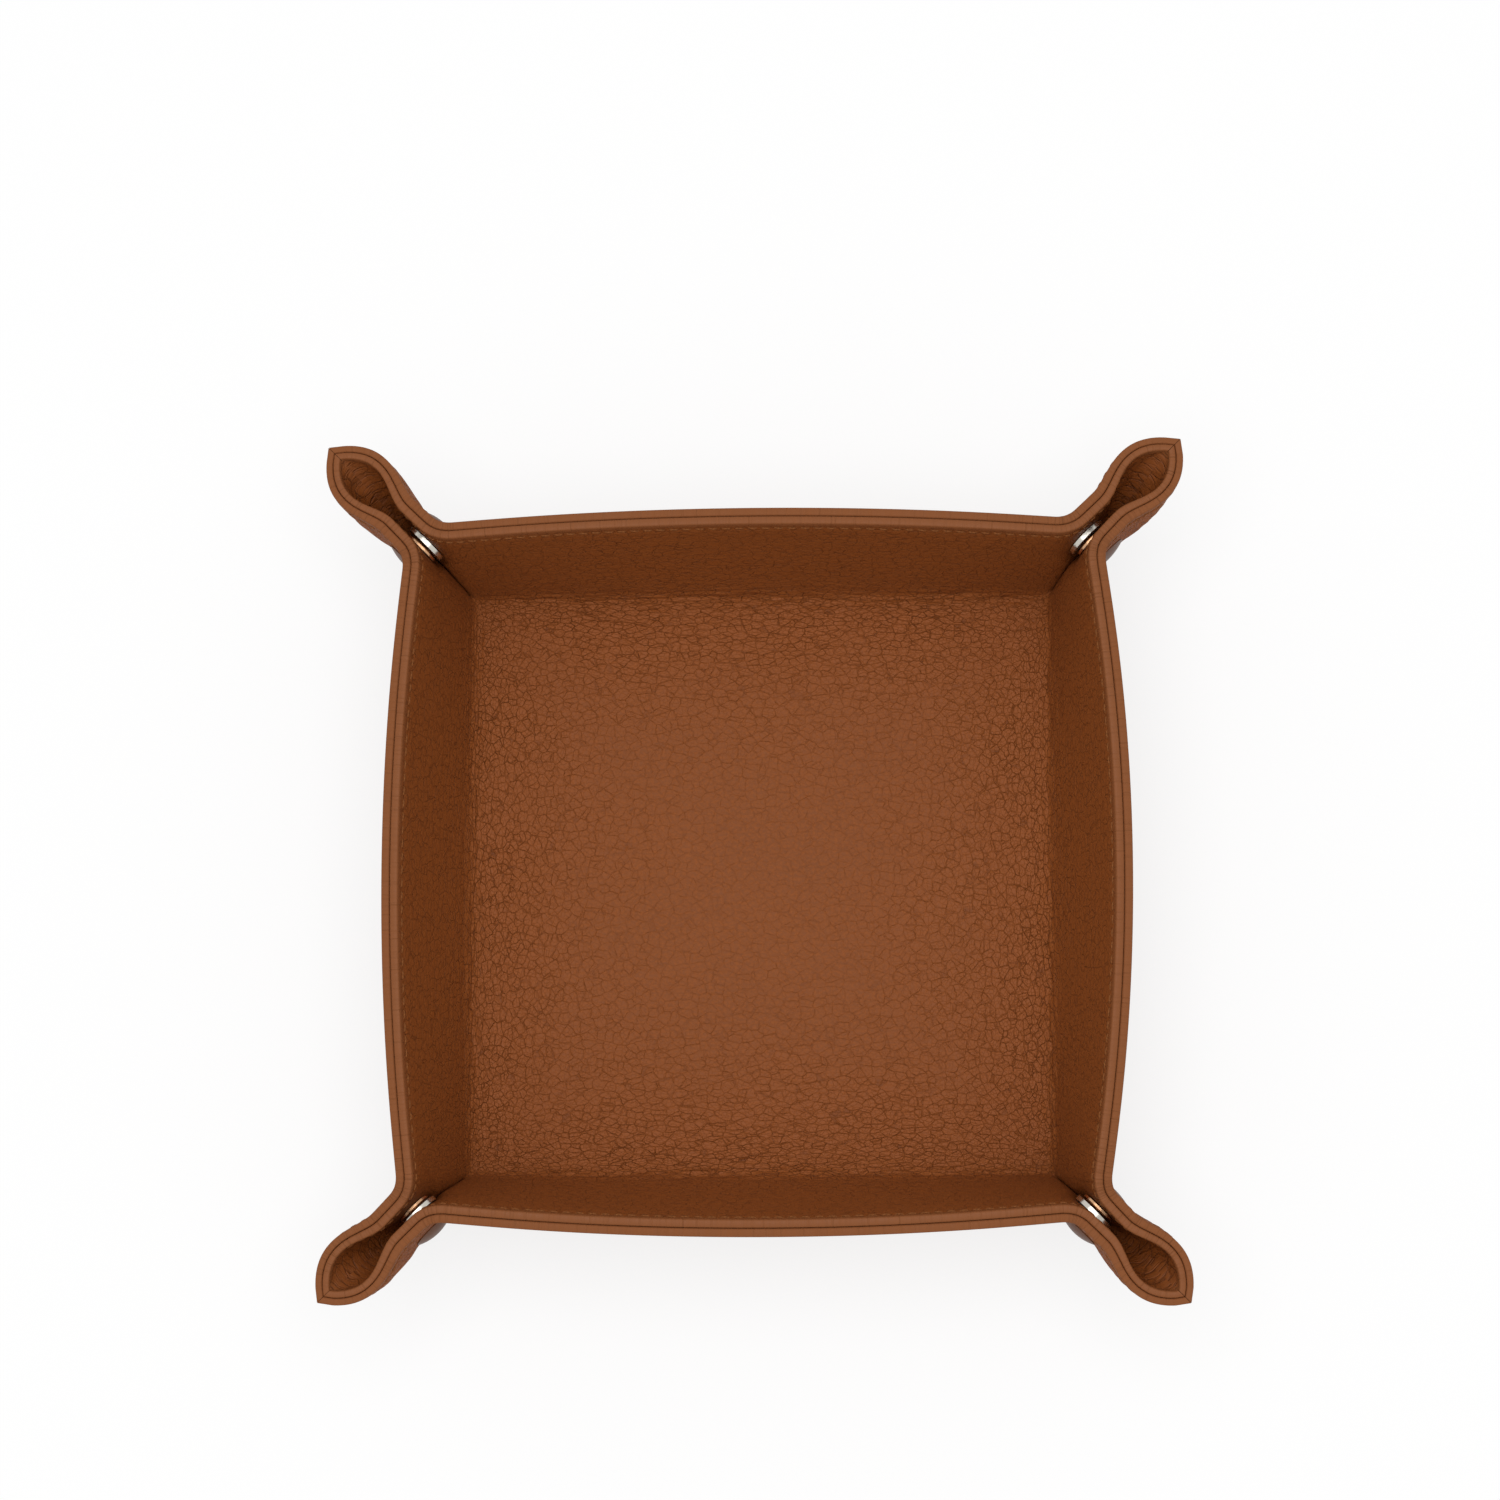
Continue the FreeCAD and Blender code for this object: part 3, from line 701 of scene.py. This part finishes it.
# Leather: scales of its two maps per metre, and on the first, whose unit is about a millimetre,
# the sway and the pebbles with the share of each that is crack; then depth and gloss
GRAIN_MAP = (880, 1080, 1000)
STREAK_MAP = (200, 640, 1)
SWAY = (1.5, 1.5, 0)
PEBBLES, CRACK_WIDTH = 0.36, 0.075
FINE_PEBBLES, FINE_WIDTH = 0.80, 0.08
GRAIN_DEPTH = 0.30 * MM
MATT_SPREAD = 0.07
SATIN = 0.18

# Each leather's place on the grain, so that the two differ, and its roughness
LEATHERS = {"lining": ((0.0, 0.0, 0.0), 0.55), "outer": ((430.0, 170.0, 0.0), 0.72)}


def leather(name, base, worn, crack_tone_and_shade, place, matt):
    """Pebbled full-grain leather on the flat hide's own map.

    Pebbles of about 3 mm with dark cracks, finer ones and pores in them, soft mottling,
    faint streaks along the walls, deeper grain where the attribute says and lighter
    leather on worn edges. The dark of the cracks is partly their own tone and partly
    painted shade in the creases. Where the grain is deep its pebbles are lighter, which
    is painted light that lifts the walls and the floor's edges. The lighter streaks are
    painted light on the walls, standing for highlights on the grain.
    """
    material, tree, shader = new_material(name, matt, specular=SATIN)
    hide_map, run_map = (add_node(tree, "UVMap", {"uv_map": label}).outputs[0]
                         for label in ("hide", "run"))
    grain, wear, streak = (add_node(tree, "Attribute", {"attribute_name": label}).outputs["Fac"]
                           for label in ("grain", "wear", "streak"))
    coords = add_node(tree, "Mapping", Vector=hide_map, Scale=GRAIN_MAP, Location=place).outputs[0]
    run = add_node(tree, "Mapping", Vector=run_map, Scale=STREAK_MAP, Location=place).outputs[0]

    def noise(vector, output="Fac", **inputs):
        """Noise on one of the maps."""
        return add_node(tree, "TexNoise", Vector=vector, **inputs).outputs[output]

    sway = noise(coords, "Color", Scale=0.40, Detail=2.0)
    pores = noise(coords, Scale=1.1, Detail=4.0, Roughness=0.65)
    patch = noise(coords, Scale=0.035, Detail=2.0)
    broken = noise(coords, Scale=0.30, Detail=3.0)
    streaks = noise(run, Scale=1.0, Detail=3.0, Distortion=0.8)
    bent = add_node(tree, "VectorMath", {"operation": "MULTIPLY_ADD"},
                    i0=sway, i1=SWAY, i2=coords).outputs[0]

    def pebbles(feature, output, scale):
        """Cells of the grain on the swayed map."""
        cells = add_node(tree, "TexVoronoi", {"feature": feature}, Vector=bent, Scale=scale)
        return cells.outputs[output]

    to_crack = pebbles("DISTANCE_TO_EDGE", "Distance", PEBBLES)
    to_fine = pebbles("DISTANCE_TO_EDGE", "Distance", FINE_PEBBLES)
    tone = pebbles("F1", "Color", PEBBLES)
    crack = spread(tree, to_crack, 0.0, CRACK_WIDTH, 1.0, 0.0)
    fine = spread(tree, to_fine, 0.0, FINE_WIDTH, 1.0, 0.0)
    # Streak lines: real relief in the bump, and in the colour painted light on the walls
    lines = product(tree, streak, spread(tree, streaks, 0.42, 0.72))

    # Depth of the grain, uneven from patch to patch and broken up within each
    depth = product(tree, grain, spread(tree, patch, 0.3, 0.7, 0.85, 1.1))
    depth = product(tree, depth, spread(tree, broken, 0.35, 0.62, 0.62, 1.08))
    sunk = product(tree, maths(tree, "ADD", crack, product(tree, fine, 0.4)), depth)
    height = maths(tree, "SUBTRACT", product(tree, pores, 0.3), sunk)
    height = maths(tree, "ADD", height, product(tree, lines, 0.35))
    bumped(tree, shader, height, 0.8, GRAIN_DEPTH)

    # Colour, from the body of the leather outwards, each layer over the ones before it
    # Darkening in the cracks, deeper where the grain attribute is high: partly the leather's own
    # darker cracks, partly painted shade in the creases
    dark = maths(tree, "ADD", product(tree, crack, 0.46), product(tree, fine, 0.26))
    body = mixed(tree, spread(tree, patch, 0.25, 0.75), shade(base, 0.94), shade(base, 1.06))
    layers = (
        (product(tree, tone, 0.14), shade(base, 0.80)),
        # Lighter pebbles where the grain is deep: painted light that lifts the walls and the
        # floor's shaded edges and corners
        (product(tree, grain, 0.66), shade(base, 1.5)),
        (spread(tree, pores, 0.38, 0.68, 0.0, 0.60), shade(base, 1.50)),
        # Lighter streaks on the walls: painted light that brightens the walls and stands for
        # highlights on the grain
        (product(tree, lines, 0.90), shade(base, 1.3)),
        (product(tree, dark, depth), crack_tone_and_shade),
        (product(tree, wear, 0.85), worn),
    )
    for share, tint in layers:
        body = mixed(tree, share, body, tint)
    tree.links.new(body, shader.inputs["Base Color"])
    gloss = spread(tree, pores, 0.3, 0.7, matt - MATT_SPREAD, matt + MATT_SPREAD)
    tree.links.new(gloss, shader.inputs["Roughness"])
    return material


def sewing_thread(base):
    """Waxed thread: twisted plies as slanted bands along each stitch."""
    material, tree, shader = new_material("sewing_thread", 0.75, specular=0.15)
    coords = add_node(tree, "UVMap", {"uv_map": "hide"}).outputs[0]
    plies = add_node(tree, "TexWave", {"bands_direction": "DIAGONAL"},
                     Vector=coords, Scale=700.0).outputs["Fac"]
    tree.links.new(mixed(tree, plies, shade(base, 0.75), base), shader.inputs["Base Color"])
    bumped(tree, shader, plies, 0.4, 0.1 * MM)
    return material


def plated(name, base, roughness):
    """Pressed and plated metal with faint handling marks."""
    material, tree, shader = new_material(name, roughness, 1.0)
    marks = object_noise(tree, 900.0, 4.0)
    tree.links.new(mixed(tree, marks, shade(base, 0.88), base), shader.inputs["Base Color"])
    gloss = spread(tree, marks, 0.3, 0.7, roughness * 0.8, roughness * 1.3)
    tree.links.new(gloss, shader.inputs["Roughness"])
    bumped(tree, shader, marks, 0.05, 0.05 * MM)
    return material


def lacquered(base):
    """Brown satin lacquer with slight orange peel."""
    material, tree, shader = new_material("brown_lacquer", 0.42, specular=SATIN)
    peel = object_noise(tree, 1400.0, 2.0)
    tint = mixed(tree, peel, shade(base, 0.85), shade(base, 1.15))
    tree.links.new(tint, shader.inputs["Base Color"])
    bumped(tree, shader, peel, 0.12, 0.04 * MM)
    return material


def fibre_board(base):
    """Pressed fibre: flecks of two tones and a felted surface."""
    material, tree, shader = new_material("fibre_board", 0.85)
    flecks = object_noise(tree, 420.0, 5.0)
    share = spread(tree, flecks, 0.35, 0.65)
    tint = mixed(tree, share, shade(base, 0.7), shade(base, 1.2))
    tree.links.new(tint, shader.inputs["Base Color"])
    bumped(tree, shader, flecks, 0.3, 0.1 * MM)
    return material


def seen_straight(tree):
    """1 for rays from the camera, or from it by way of metal or glass, else 0."""
    path = add_node(tree, "LightPath").outputs
    seen = maths(tree, "MAXIMUM", path["Is Camera Ray"], path["Is Glossy Ray"])
    return maths(tree, "MAXIMUM", seen, path["Is Transmission Ray"])


class TRAY_OT_floor(bpy.types.Operator):
    """Build the lining and outer leather of the floor"""

    bl_idname = "tray.floor"
    bl_label = "Floor leathers"

    def execute(self, context):
        top = floor_panel("floor_lining", True, bpy.data.materials["grained_lining"])
        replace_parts(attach(top, "base"), "lining_floor")
        under = floor_panel("floor_outer", False, bpy.data.materials["grained_outer"])
        folds = ["outer_fold_" + wall for wall in WALLS]
        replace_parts(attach(under, "base"), "outer_floor", *folds)
        return {"FINISHED"}


class TRAY_OT_walls(bpy.types.Operator):
    """Build the lining and outer leather of the four walls"""

    bl_idname = "tray.walls"
    bl_label = "Wall leathers"

    def execute(self, context):
        p = np.linspace(-WALL_END, WALL_END, WALL_COLUMNS)
        for step, wall in enumerate(WALLS):
            for layer, tightest in LAYERS:
                material = bpy.data.materials["grained_" + layer]
                strip = leather_strip("wall_%s_%s" % (layer, wall), Hide(step, tightest), p,
                                      layer == "lining", material)
                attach(strip, "wall_" + wall)
                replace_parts(strip, "%s_wall_%s" % (layer, wall))
        return {"FINISHED"}


class TRAY_OT_ears(bpy.types.Operator):
    """Build the two leathers of the eight ear halves, each running on from the end of its wall"""

    bl_idname = "tray.ears"
    bl_label = "Ear leathers"

    def execute(self, context):
        for step, wall in enumerate(WALLS):
            for sign, neighbour in ears_of(step):
                for layer, tightest in LAYERS:
                    name = "ear_%s_%s_%s" % (layer, wall, neighbour)
                    tip = -1 if sign > 0 else 0
                    material = bpy.data.materials["grained_" + layer]
                    strip = leather_strip(name, Hide(step, tightest), ear_columns(sign),
                                          layer == "lining", material, tip)
                    bend_with_ear(strip)
                    stands_for = ["%s_ear_%s_%s" % (layer, wall, neighbour)]
                    if step % 2 == 0:
                        stands_for.append("%s_keel_%s_%s" % (layer, wall, neighbour))
                    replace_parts(strip, *stands_for)
        return {"FINISHED"}


class TRAY_OT_stitches(bpy.types.Operator):
    """Sew the rim: a row of stitches inside and one outside on every wall and ear"""

    bl_idname = "tray.stitches"
    bl_label = "Rim stitches"

    def execute(self, context):
        thread = sewing_thread(colours().thread)
        ear_end = HALF + sizes().crown
        for step, wall in enumerate(WALLS):
            for side, outside in (("inside", False), ("outside", True)):
                hide = Hide(step, OUTER_TIGHTEST if outside else 0.0)
                on_wall = stitch_places(-WALL_END, WALL_END)
                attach(stitch_row("stitches_%s_%s" % (side, wall), hide, on_wall, outside, thread),
                        "wall_" + wall)
                on_ear = stitch_places(WALL_END + sizes().stitch_length / 2, ear_end)
                for sign, neighbour in ears_of(step):
                    name = "stitches_%s_%s_%s" % (side, wall, neighbour)
                    row = stitch_row(name, hide, np.sort(on_ear * sign), outside, thread)
                    bend_with_ear(row)
        return {"FINISHED"}


class TRAY_OT_finishes(bpy.types.Operator):
    """Make the leathers, and dress the snaps and the board that the frame brings"""

    bl_idname = "tray.finishes"
    bl_label = "Finishes"

    def execute(self, context):
        tones = colours()
        for layer, (place, matt) in LEATHERS.items():
            leather("grained_" + layer, getattr(tones, layer), tones.worn, tones.crack, place, matt)
        lacquer = lacquered(tones.lacquer)
        dress = {
            "socket_": plated("nickel", tones.nickel, 0.22),
            "stud_": plated("copper", tones.copper, 0.28),
            "spring_ring_": plated("spring_wire", tones.wire, 0.30),
            "cap_": lacquer,
            "post_": lacquer,
            "base_board": fibre_board(tones.board),
        }
        for name, node in frame["nodes"].items():
            for start, material in dress.items():
                if name.startswith(start):
                    node.data.materials.clear()
                    node.data.materials.append(material)
        return {"FINISHED"}


# The photograph: a view almost straight down, from a little in front and to the right
VIEW_PLACE = (0.0624, -0.1224, 1.2)
VIEW_TURN = (0.1326, 0.0545, 0.0005)
VIEW_LENS = 104.7
SENSOR = 36.0

# Ground: how far it reaches, its drop under the tray and the share of pure white seen on it
GROUND_REACH = 60.0
GROUND_DROP = 0.1 * MM
GROUND_WHITE = 0.75

# Light: the soft box, and the strength of the fill from all round
BOX_PLACE = (0.0, 0.0, 1.5)
BOX_SIZE = 1.6
BOX_ENERGY = 13.5
FILL = 0.58
WHITE = (1, 1, 1, 1)


class TRAY_OT_stage(bpy.types.Operator):
    """Set the pale floor, soft light and camera"""

    bl_idname = "tray.stage"
    bl_label = "Stage"

    def execute(self, context):
        scene = context.scene
        scene.view_settings.view_transform = "Standard"
        self.add_ground()
        self.add_light()
        self.add_world(scene)
        data = bpy.data.cameras.new("camera")
        data.lens = VIEW_LENS
        data.sensor_width = SENSOR
        camera = bpy.data.objects.new("camera", data)
        scene.collection.objects.link(camera)
        camera.location = VIEW_PLACE
        camera.rotation_euler = VIEW_TURN
        scene.camera = camera
        return {"FINISHED"}

    def add_ground(self):
        """Pale matt ground just under the tray."""
        corners = np.array(((-1, -1, 0), (1, -1, 0), (1, 1, 0), (-1, 1, 0)))
        mesh = bpy.data.meshes.new("ground")
        mesh.from_pydata(corners * GROUND_REACH - (0, 0, GROUND_DROP), [], [(0, 1, 2, 3)])
        material, tree, shader = new_material("ground", 0.9, specular=0.0)
        shader.inputs["Base Color"].default_value = colours().stage
        white = add_node(tree, "Emission", Color=WHITE, Strength=1.0).outputs[0]
        share = product(tree, seen_straight(tree), GROUND_WHITE)
        both = add_node(tree, "MixShader", i0=share, i1=shader.outputs[0], i2=white).outputs[0]
        tree.links.new(both, tree.nodes["Material Output"].inputs["Surface"])
        mesh.materials.append(material)
        ground = bpy.data.objects.new("ground", mesh)
        bpy.context.scene.collection.objects.link(ground)

    def add_light(self):
        """One broad soft box overhead."""
        data = bpy.data.lights.new("soft_box", "AREA")
        data.shape = "DISK"
        data.size = BOX_SIZE
        data.energy = BOX_ENERGY
        lamp = bpy.data.objects.new("soft_box", data)
        lamp.location = BOX_PLACE
        bpy.context.scene.collection.objects.link(lamp)

    def add_world(self, scene):
        """White to the camera and in reflections, a soft fill for everything else."""
        world = bpy.data.worlds.new("studio")
        world.use_nodes = True
        tree = world.node_tree
        tree.nodes.clear()
        fill = add_node(tree, "Background", Color=WHITE, Strength=FILL).outputs[0]
        white = add_node(tree, "Background", Color=WHITE, Strength=1.0).outputs[0]
        both = add_node(tree, "MixShader", i0=seen_straight(tree), i1=fill, i2=white).outputs[0]
        add_node(tree, "OutputWorld", Surface=both)
        scene.world = world


OPERATORS = (TRAY_OT_finishes, TRAY_OT_floor, TRAY_OT_walls, TRAY_OT_ears, TRAY_OT_stitches,
             TRAY_OT_stage)


class TRAY_PT_panel(bpy.types.Panel):
    """Sizes, colours and building steps of the tray"""

    bl_idname = "TRAY_PT_panel"
    bl_label = "Valet tray"
    bl_space_type = "VIEW_3D"
    bl_region_type = "UI"
    bl_category = "Tray"

    def draw(self, context):
        for group in (context.scene.tray_sizes, context.scene.tray_colours):
            for name in group.__annotations__:
                self.layout.prop(group, name)
        for operator in OPERATORS:
            self.layout.operator(operator.bl_idname)


CLASSES = (TraySizes, TrayColours, *OPERATORS, TRAY_PT_panel)


def register():
    """Add the classes and the scene's settings."""
    for item in CLASSES:
        bpy.utils.register_class(item)
    bpy.types.Scene.tray_sizes = PointerProperty(type=TraySizes)
    bpy.types.Scene.tray_colours = PointerProperty(type=TrayColours)


def unregister():
    """Take them out again."""
    del bpy.types.Scene.tray_colours
    del bpy.types.Scene.tray_sizes
    for item in reversed(CLASSES):
        bpy.utils.unregister_class(item)


def main():
    """Build everything in order."""
    register()
    for operator in OPERATORS:
        getattr(bpy.ops.tray, operator.bl_idname.split(".")[1])()


if __name__ == "__main__":
    main()
